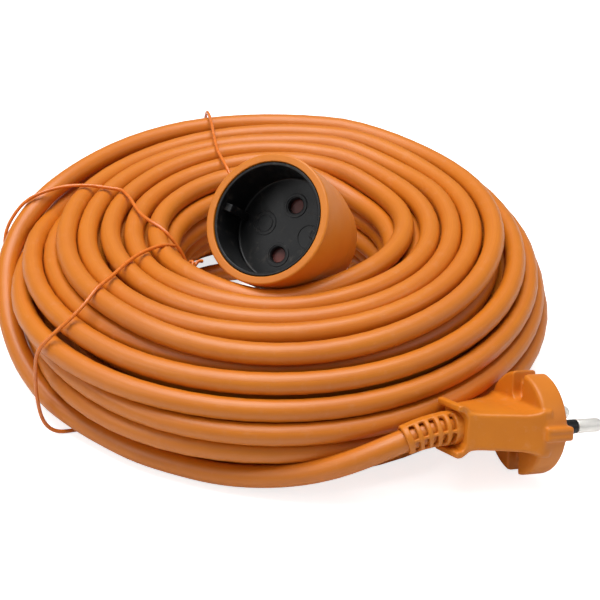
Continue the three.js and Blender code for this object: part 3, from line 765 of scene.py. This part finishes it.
def cut_and_joined(name, solids, cutters, matrix, voxel, soften):
    """Overlapping solids less their cutters, joined by a voxel remesh and slightly softened."""
    holder = bpy.data.objects.new(name + "_blank", mesh_of(name, *solids))
    scene_objects.link(holder)
    remesh = holder.modifiers.new("join", "REMESH")
    remesh.mode = "VOXEL"
    remesh.voxel_size = voxel
    tool = bpy.data.objects.new(name + "_cutter", mesh_of("cutter", *cutters))
    scene_objects.link(tool)
    if cutters:
        boolean = holder.modifiers.new("cut", "BOOLEAN")
        boolean.operation = "DIFFERENCE"
        boolean.solver = "EXACT"
        boolean.use_self = True
        boolean.object = tool
    again = holder.modifiers.new("join again", "REMESH")
    again.mode = "VOXEL"
    again.voxel_size = voxel
    soft = holder.modifiers.new("soften", "SMOOTH")
    soft.factor = 0.5
    soft.iterations = soften
    evaluated = holder.evaluated_get(bpy.context.evaluated_depsgraph_get())
    mesh = bpy.data.meshes.new_from_object(evaluated)
    for item in (holder, tool):
        bpy.data.objects.remove(item)
    mesh.name = name
    mesh.transform(matrix)
    return mesh


# %% plug flange
NOTCH_WIDTH = 6
NOTCH_DEPTH = 5.4
KEY_WIDTH = 4.8
KEY_PROUD = 1.4
GRIP_HALF_THICKNESS = 6.3
flange = turned(
    rounded([
        (0, 0, 0), (FLANGE_RADIUS, 0, 1.1), (FLANGE_RADIUS, FLANGE_THICKNESS, 1.1), (0, FLANGE_THICKNESS, 0),
    ]),
    axis="X",
)
keys = []
for side in (-1, 1):
    edge = side * (FLANGE_RADIUS + KEY_PROUD)
    low, high = sorted((side * (FLANGE_RADIUS - 2), edge))
    keys.append(block((0.3, low, -KEY_WIDTH / 2), (FLANGE_THICKNESS + KEY_PROUD, high, KEY_WIDTH / 2), 0.5))
    for rib in (-1.1, 1.1):
        low, high = sorted((edge - side * 0.6, edge + side * 0.35))
        rib_end = FLANGE_THICKNESS + KEY_PROUD - 0.4
        keys.append(block((1.2, low, rib - 0.45), (rib_end, high, rib + 0.45), 0.2))
notches = []
for side in (-1, 1):
    floor = FLANGE_RADIUS - NOTCH_DEPTH + NOTCH_WIDTH / 2
    for from_x, to_x, bottom in ((-2, 12, floor), (-2, 3.6, GRIP_HALF_THICKNESS + 1.5 + NOTCH_WIDTH / 2)):
        low, high = sorted((side * bottom, side * (FLANGE_RADIUS + 3)))
        notches.append(block((from_x, -NOTCH_WIDTH / 2, low), (to_x, NOTCH_WIDTH / 2, high)))
        half = NOTCH_WIDTH / 2
        trough = turned([(0, from_x), (half, from_x), (half, to_x), (0, to_x)], axis="X", steps=32)
        bmesh.ops.translate(trough, verts=trough.verts, vec=(0, 0, side * bottom))
        notches.append(trough)
print("flange solids", 1 + len(keys), "cutters", len(notches))

# %% [markdown]
# The grip is drawn back from the flange one section at a time, and each extrusion narrows it. The
# two finger lips behind it are side outlines raised across the grip, one turned over for the other.
# The remesh joins everything, as the one shot of plastic does in the real mould.

# %% plug grip
grip_sections = [
    (3, 16.9, 8.0), (0, 16.9, 7.9), (-1.2, 16.4, 7.2), (-2.6, 15.9, 6.8), (-5, 14.9, 6.4), (-11, 12.2, 6.3),
    (-17.6, 9.6, 6.2), (-20.0, 8.7, 6.3), (-23.3, 7.7, 6.8),
]
grip = bmesh.new()
first_x, half_width, half_height = grip_sections[0]
bmesh.ops.create_grid(grip, x_segments=1, y_segments=1, size=1)
bmesh.ops.rotate(grip, verts=grip.verts, cent=(0, 0, 0), matrix=Matrix.Rotation(math.pi / 2, 3, "Y"))
bmesh.ops.scale(grip, verts=grip.verts, vec=(1, half_width, half_height))
bmesh.ops.translate(grip, verts=grip.verts, vec=(first_x, 0, 0))
cap = grip.faces[:]
for (x0, w0, h0), (x1, w1, h1) in zip(grip_sections, grip_sections[1:]):
    made = bmesh.ops.extrude_face_region(grip, geom=cap, use_keep_orig=x0 == first_x)
    ends = [item for item in made["geom"] if isinstance(item, bmesh.types.BMVert)]
    cap = [item for item in made["geom"] if isinstance(item, bmesh.types.BMFace)]
    bmesh.ops.scale(grip, verts=ends, vec=(1, w1 / w0, h1 / h0))
    bmesh.ops.translate(grip, verts=ends, vec=(x1 - x0, 0, 0))
bmesh.ops.recalc_face_normals(grip, faces=grip.faces)
long_edges = [
    edge for edge in grip.edges
    if abs(edge.verts[0].co.x - edge.verts[1].co.x) > 0.1 and abs(edge.verts[0].co.y) > 1
]
bmesh.ops.bevel(grip, geom=long_edges, offset=1.0, segments=4, affect="EDGES", profile=0.5, material=-1)


def finger_lip(side, half_width=7.3):
    outline = [
        (-19.6, 4.6), (-19.6, 6.2), (-21.6, 6.9), (-23.4, 8.2), (-24.6, 8.9), (-26.2, 9.0), (-26.8, 8.5),
        (-26.8, 6.9), (-26.2, 6.5), (-24.2, 6.4), (-23.6, 4.6),
    ]
    shape = bmesh.new()
    end = shape.faces.new([shape.verts.new((x, -half_width, side * z)) for x, z in outline])
    made = bmesh.ops.extrude_face_region(shape, geom=[end], use_keep_orig=True)
    raised = [item for item in made["geom"] if isinstance(item, bmesh.types.BMVert)]
    bmesh.ops.translate(shape, verts=raised, vec=(0, 2 * half_width, 0))
    rims = [edge for edge in shape.edges if abs(edge.verts[0].co.y - edge.verts[1].co.y) < 0.1]
    bmesh.ops.bevel(
        shape, geom=rims, offset=0.6, segments=3, affect="EDGES", profile=0.5, material=-1, clamp_overlap=True
    )
    bmesh.ops.recalc_face_normals(shape, faces=shape.faces)
    return shape


lips = [finger_lip(1), finger_lip(-1)]
plug_mesh = cut_and_joined("plug_moulding", [flange, grip, *lips, *keys], notches, PLUG, 0.36, 4)
print("plug moulding has", len(plug_mesh.polygons), "faces")
plug_piece = smooth_piece("plug_moulding", plug_mesh, moulding, "plug_body", angle=60)

# %% [markdown]
# ## Strain reliefs
#
# Where the cable leaves a fitting, a tapered sleeve of rings keeps it from kinking. Two wide webs
# above and below and two thin ones at the sides hold the rings together. The sleeve is made
# straight and then bent with the cable.

# %% strain reliefs
RELIEF_INNER = CABLE_RADIUS + 0.12
RELIEF_ROOT = 5.9
RELIEF_TAIL = 5.0
RING_PITCH = 3.2
RING_WIDTH = 1.5


def relief_radius(x, length):
    return RELIEF_ROOT + (RELIEF_TAIL - RELIEF_ROOT) * min(1, max(0, -x / length))


def relief_ring(x_front, x_back, length, edge=0.4):
    outer = (relief_radius(x_front, length), relief_radius(x_back, length))
    profile = rounded(
        [
            (RELIEF_INNER, x_front, 0), (outer[0], x_front, edge),
            (outer[1], x_back, edge), (RELIEF_INNER, x_back, 0),
        ],
        closed=True,
    )
    return turned(profile, axis="X", steps=64, closed=True)


def strain_relief(name, length, rings, matrix, bend, node):
    solids = [relief_ring(1.0, -2.4, length)]
    for i in range(rings):
        front = -4.1 - i * RING_PITCH
        solids.append(relief_ring(front, front - RING_WIDTH, length))
    solids.append(relief_ring(-4.1 - rings * RING_PITCH, -length, length, 0.6))
    for side in (-1, 1):
        for x in np.arange(-length + 0.6, -1, 0.8):
            radius = relief_radius(x, length)
            low, high = sorted((side * (RELIEF_INNER + 0.1), side * (radius - 0.25)))
            solids.append(block((x - 0.55, -1.8, low), (x + 0.55, 1.8, high), 0.15, 1))
            solids.append(block((x - 0.55, low, -0.5), (x + 0.55, high, 0.5), 0.15, 1))
    straight = cut_and_joined(name, solids, [], Matrix.Identity(4), 0.2, 3)
    for vertex in straight.vertices:
        vertex.co = matrix @ bent(vertex.co, *bend)
    return smooth_piece(name, straight, moulding, node, angle=60)


plug_relief_piece = strain_relief(
    "plug_relief", PLUG_RELIEF_LENGTH, 4, plug_relief, PLUG_BEND, "plug_strain_relief"
)
strain_relief(
    "socket_relief", SOCKET_RELIEF_LENGTH, 5, socket_relief, SOCKET_BEND, "socket_strain_relief"
)

# %% [markdown]
# ## Pins and their carrier
#
# The two pins are turned from brass rod with a domed tip, and a black sleeve covers the half next
# to the flange, so that no bare metal can be touched while the plug is partly in.

# %% pins
PIN_SPACING = 19
PIN_RADIUS = 2.4
PIN_NECK = 1.7
PIN_LENGTH = 19
SLEEVE_LENGTH = 8.4
pin_tip = FLANGE_THICKNESS + PIN_LENGTH
sleeve_end = FLANGE_THICKNESS + SLEEVE_LENGTH
for node, side in (("plug_pin_near", -1), ("plug_pin_far", 1)):
    profile = rounded([
        (0, -5.8, 0), (2.1, -5.8, 0.3), (2.1, 1.2, 0.2), (PIN_NECK, 1.2, 0), (PIN_NECK, sleeve_end + 0.3, 0),
        (PIN_RADIUS, sleeve_end + 0.3, 0.25), (PIN_RADIUS, pin_tip, 1.9), (0, pin_tip, 0),
    ])
    pin = turned(profile, axis="X", steps=64)
    bmesh.ops.translate(pin, verts=pin.verts, vec=(0, side * PIN_SPACING / 2, 0))
    smooth_piece(node + "_turned", mesh_of(node, pin, matrix=PLUG), nickel, node)

carrier = [block((1.5, -13.1, -4.2), (7, 13.1, 4.2), 0.5)]
for side in (-1, 1):
    sleeve = turned(
        rounded(
            [(2.0, 6, 0), (2.42, 6, 0), (2.42, FLANGE_THICKNESS - 0.2, 0), (3.1, FLANGE_THICKNESS - 0.2, 0),
             (3.1, FLANGE_THICKNESS + 0.9, 0.3), (2.45, FLANGE_THICKNESS + 1.1, 0),
             (2.45, sleeve_end, 0.15), (2.0, sleeve_end, 0)],
            closed=True,
        ),
        axis="X", steps=64, closed=True,
    )
    bmesh.ops.translate(sleeve, verts=sleeve.verts, vec=(0, side * PIN_SPACING / 2, 0))
    carrier.append(sleeve)
smooth_piece(
    "pin_carrier", mesh_of("pin_carrier", *carrier, matrix=PLUG), black_moulding,
    "plug_pin_carrier",
)

# %% [markdown]
# ## Socket shell and insert
#
# The shell is a round moulding, wide at the rim and stepped down to the cable. The black insert is a
# cup with two holes in its floor and two ribs on its wall that only let a matching plug in. Both are
# turned from their profiles, and the holes and ribs are cut and joined afterwards.

# %% socket shell
RECESS_RADIUS = 19.5
RECESS_DEPTH = 17.4
CAVITY_RADIUS = 20.9
RIM_RADIUS = 23.8
shell_profile = rounded(
    [
        (CAVITY_RADIUS, 0, 0.3), (RIM_RADIUS, 0, 0.7), (RIM_RADIUS - 0.3, -14, 8), (RIM_RADIUS - 1.3, -25, 8),
        (20.4, -35, 2.2), (18.8, -37.6, 1.2), (15.8, -40.2, 1), (13.6, -41, 0.8), (12.9, -48.6, 1.2),
        (11.6, -SOCKET_LENGTH, 0.5), (5.3, -SOCKET_LENGTH, 0.2), (5.3, -46.4, 0), (11.3, -46.4, 0),
        (11.3, -39.6, 0), (13, -38.6, 0),
        (13, -35.9, 0), (17.5, -35.9, 0), (17.5, -24.3, 0), (CAVITY_RADIUS, -24.3, 0),
    ],
    closed=True,
)
shell = turned(shell_profile, steps=128, closed=True)
shell_mesh = mesh_of("socket_housing", shell, matrix=SOCKET)
smooth_piece("socket_housing", shell_mesh, moulding, "socket_shell")

# %% socket insert
INSERT_OUTER = CAVITY_RADIUS - 0.3
floor_top = -RECESS_DEPTH
insert = turned(
    rounded([
        (0, floor_top, 0), (RECESS_RADIUS, floor_top, 0.8), (RECESS_RADIUS, -0.35, 0.35),
        (INSERT_OUTER, -0.35, 0.3), (INSERT_OUTER, -24, 0.2), (19.2, -24, 0), (19.2, -19.3, 0), (0, -19.3, 0),
    ]),
    steps=128,
)
guides = []
for side in (-1, 1):
    low, high = sorted((side * (RECESS_RADIUS - 2.9), side * (RECESS_RADIUS + 0.5)))
    guides.append(block((-1.5, low, floor_top - 0.5), (1.5, high, -3.5), 0.35))
raised_marks = []
for side in (-1, 1):
    collar = turned(
        rounded(
            [
                (3.5, floor_top - 0.3, 0), (4.6, floor_top - 0.3, 0),
                (4.5, floor_top + 0.3, 0.12), (3.6, floor_top + 0.3, 0.12),
            ],
            closed=True,
        ),
        steps=48, closed=True,
    )
    bmesh.ops.translate(collar, verts=collar.verts, vec=(side * PIN_SPACING / 2, 0, 0))
    raised_marks.append(collar)
for radius, at_y in ((4.6, 9.5), (3.2, 9.5), (4.6, -9.5)):
    ring = turned(
        rounded(
            [
                (radius - 0.35, floor_top - 0.3, 0), (radius, floor_top - 0.3, 0),
                (radius, floor_top + 0.25, 0.1), (radius - 0.35, floor_top + 0.25, 0.1),
            ],
            closed=True,
        ),
        steps=48, closed=True,
    )
    bmesh.ops.translate(ring, verts=ring.verts, vec=(0, at_y, 0))
    raised_marks.append(ring)
drills = []
for side in (-1, 1):
    drill_side = [(0, -21), (2.8, -21), (2.8, floor_top - 0.45), (3.5, floor_top + 0.3), (3.5, -15), (0, -15)]
    drill = turned(drill_side, steps=64)
    bmesh.ops.translate(drill, verts=drill.verts, vec=(side * PIN_SPACING / 2, 0, 0))
    drills.append(drill)


def cut_exactly(name, solids, cutters, matrix):
    """Solids less their cutters, with every flat and every edge kept."""
    holder = bpy.data.objects.new(name + "_blank", mesh_of(name, *solids))
    scene_objects.link(holder)
    tool = bpy.data.objects.new(name + "_cutter", mesh_of("cutter", *cutters))
    scene_objects.link(tool)
    boolean = holder.modifiers.new("cut", "BOOLEAN")
    boolean.operation = "DIFFERENCE"
    boolean.solver = "EXACT"
    boolean.use_self = True
    boolean.object = tool
    mesh = bpy.data.meshes.new_from_object(holder.evaluated_get(bpy.context.evaluated_depsgraph_get()))
    for item in (holder, tool):
        bpy.data.objects.remove(item)
    mesh.transform(matrix)
    return mesh


insert_mesh = cut_exactly("socket_cup", [insert, *guides, *raised_marks], drills, SOCKET)
smooth_piece("socket_cup", insert_mesh, black_moulding, "socket_insert")

# %% [markdown]
# ## Pieces inside
#
# The shutter, its spring, the contacts, their holder and the stripped cores keep their CAD shapes.
# Each gets the finish of its own material.

# %% materials of the CAD pieces
inside = {
    "socket_shutter": shutter_material,
    "socket_shutter_spring": spring_steel,
    "socket_contact_holder": ivory,
    "socket_contact_upper": brass,
    "socket_contact_lower": brass,
    "plug_core_brown": brown_core,
    "socket_core_brown": brown_core,
    "plug_core_blue": blue_core,
    "socket_core_blue": blue_core,
}
for node, material in inside.items():
    mesh = frame["nodes"][node].data
    mesh.materials.clear()
    mesh.materials.append(material)
print("CAD pieces painted", len(inside))

# %% [markdown]
# ## Ties
#
# Three loops of thin plastic string hold the turns. A drawn string lies on the convex outline of the
# turns it goes round, so each stop looks up the real turns at its heading, takes the outline that a
# tight string would have there, and then stands off by its own slack. The knots are short loops
# tied in the string.

# %% tie routes
TIE_RADIUS = 0.7
SECTION_MIDDLE = Vector((69.5, 24.5))
tie_routes = {
    "tie_back": [
        (-20, 110, 0), (0, 110, 1), (20, 110, 3), (40, 110, 3.5), (60, 111, 1), (90, 114, 0), (115, 117, 0),
        (140, 119, 0), (158, 119, 0), (180, 119, 0), (205, 119, 0), (230, 117, 0), (270, 113, 0),
        (300, 111, 0),
        (325, 110, 0), (339, 110, 0),
    ],
    "tie_left": [
        (158, 200, 0), (140, 193, 0), (125, 182, 0), (112, 168, 0), (100, 162.5, 0), (90, 163, 0),
        (75, 163.5, 0.3), (60, 165, 0.2), (45, 169, 0.4), (30, 173, 0.4), (15, 176, 0.3), (0, 178, 0.2),
        (-20, 179, 0.2), (-45, 180, 0),
        (-90, 182, 0), (-130, 192, 0), (-160, 197, 0), (-185, 200, 0), (-201, 200, 0),
    ],
    "tie_front_left": [
        (140, 203, 0), (115, 209, 0), (100, 213, 0), (85, 216.5, 0), (70, 219, 0), (55, 221, 0.5),
        (40, 221, 1),
        (25, 220, 1.5), (10, 218.5, 2), (-10, 218, 2), (-30, 220, 4), (-45, 222.5, 6), (-60, 227, 3),
        (-90, 230, 0), (-125, 225, 0), (-160, 215, 0), (-180, 208, 0), (-190, 205, 0),
    ],
}
turn_heading, turn_radius, turn_height = section_place(route)


def outline(at_heading):
    """Corners of a tight string's outline round everything that is there at a heading."""
    near = np.abs((turn_heading - at_heading + 180) % 360 - 180) < 2.9
    rim = []
    for radius, height in zip(turn_radius[near], turn_height[near]):
        for angle in np.arange(0, 360, 15):
            turned_by = math.radians(angle)
            reach = CABLE_RADIUS + TIE_RADIUS + 0.3
            rim.append(Vector((radius + reach * math.cos(turned_by), height + reach * math.sin(turned_by))))
    return [rim[i] for i in convex_hull_2d(rim)]


def crossing(corners, degrees):
    """Distance from the section's middle to the outline in one direction."""
    ray = Vector((math.cos(math.radians(degrees)), math.sin(math.radians(degrees))))
    best = 0
    for a, b in zip(corners, corners[1:] + corners[:1]):
        a, b = a - SECTION_MIDDLE, b - SECTION_MIDDLE
        along = b - a
        across = ray.x * along.y - ray.y * along.x
        if abs(across) < 1e-9:
            continue
        distance = (a.x * along.y - a.y * along.x) / across
        share = (a.x * ray.y - a.y * ray.x) / across
        if distance > 0 and -1e-6 <= share <= 1 + 1e-6:
            best = max(best, distance)
    return best


def tie_line(stops):
    stops = np.array(stops, float)
    fine = np.linspace(0, len(stops) - 1, 12 * len(stops))
    angles, headings, slacks = (np.interp(fine, np.arange(len(stops)), stops[:, i]) for i in range(3))
    points = []
    for angle, at, slack in zip(angles, headings, slacks):
        distance = crossing(outline(at), angle) + slack
        radius = SECTION_MIDDLE.x + distance * math.cos(math.radians(angle))
        height = max(0.75, SECTION_MIDDLE.y + distance * math.sin(math.radians(angle)))
        points.append((radius * math.cos(math.radians(at)), radius * math.sin(math.radians(at)), height))
    points = np.array(points)
    for _ in range(24):
        points[1:-1] += 0.5 * ((points[:-2] + points[2:]) / 2 - points[1:-1])
    return spaced(points[::2], 0.8)


def knot_line(end, away):
    """A small overhand loop and a cut tail, beyond a tie's end."""
    end, away = Vector(end), Vector(away).normalized()
    side = away.cross(Vector((0, 0, 1))).normalized()
    up = side.cross(away)
    loop = [
        (0, 0, 0), (1.2, 0.9, 0.4), (2.3, 0.4, 1.2), (2.0, -0.9, 1.3), (0.8, -1.1, 0.3), (0.5, 0.1, -0.8),
        (1.7, 0.9, -0.6), (3.0, 0.2, 0.1), (4.6, -0.8, 0.9), (6.4, -1.2, 0.4),
    ]
    return spaced([end + away * x + side * y + up * z for x, y, z in loop], 0.4)


# %% ties as pieces
tie_pieces = {}
for node, stops in tie_routes.items():
    points = tie_line(stops)
    if node != "tie_front_left":
        outward = Vector((*points[-1][:2], 0)).normalized()
        if node == "tie_left":
            outward = -outward
        knot = knot_line(points[-1], outward)
        points = np.vstack([points, knot[1:]])
    mesh = tube_from(node + "_string", points * MM + np.array(HANK_CENTRE), TIE_RADIUS * MM, 2)
    tie_pieces[node] = smooth_piece(node + "_string", mesh, string_material, node, angle=80)

# %% [markdown]
# ## The cable's ends
#
# The cable leaves the socket's strain relief and ends in the plug.

# %% [markdown]
# ## Floor and light
#
# A white sweep and large soft lights: one broad box overhead, a wide one from the left and a weaker
# one from the right. The world fills the shadows, so the floor stays almost free of them.

# %% floor
floor_material, floor_tree, floor_shader = new_material("white floor")
floor_spot = floor_tree.nodes.new("ShaderNodeTexCoord").outputs["Object"]
floor_gloss = remap(floor_tree, noise(floor_tree, floor_spot, 30), 0.3, 0.7, 0.55, 0.62)
floor_tree.links.new(floor_gloss, floor_shader.inputs["Roughness"])
floor_shader.inputs["Base Color"].default_value = (0.8, 0.8, 0.8, 1)
floor_shader.inputs["Specular IOR Level"].default_value = 0.1
floor_shader.inputs["Emission Color"].default_value = (1, 1, 1, 1)
seen = floor_tree.nodes.new("ShaderNodeLightPath").outputs["Is Camera Ray"]
floor_tree.links.new(maths(floor_tree, "MULTIPLY", seen, 0.75), floor_shader.inputs["Emission Strength"])
ground = bmesh.new()
bmesh.ops.create_grid(ground, x_segments=1, y_segments=1, size=6)
floor = bpy.data.objects.new("floor", mesh_of("floor", ground))
floor.data.materials.append(floor_material)
scene_objects.link(floor)
floor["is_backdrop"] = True

# %% lights


def softbox(name, position, size, power, target=(0, 0, 0.02)):
    light = bpy.data.lights.new(name, "AREA")
    light.shape = "RECTANGLE"
    light.size, light.size_y = size
    light.energy = power
    lamp = bpy.data.objects.new(name, light)
    lamp.location = position
    lamp.rotation_euler = (Vector(target) - Vector(position)).to_track_quat("-Z", "Y").to_euler()
    scene_objects.link(lamp)


softbox("overhead", (-0.1, 0.1, 1.2), (1.1, 0.9), 18)
softbox("left", (-1.1, -0.6, 0.8), (0.6, 0.6), 3.5)
softbox("right", (1.1, -0.3, 0.6), (0.6, 0.6), 1.5)
world = bpy.data.worlds.new("studio")
bpy.context.scene.world = world
world.use_nodes = True
world.node_tree.nodes["Background"].inputs["Color"].default_value = (1, 1, 1, 1)
world.node_tree.nodes["Background"].inputs["Strength"].default_value = 0.24
bpy.context.scene.view_settings.view_transform = "Standard"

# %% sizes and finish
visual_bounds = [list(corner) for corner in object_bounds()]
for label, (low, high) in (("CAD", cad_bounds), ("visual", visual_bounds)):
    print(label, "box, mm", [round((b - a) / MM, 1) for a, b in zip(low, high)])
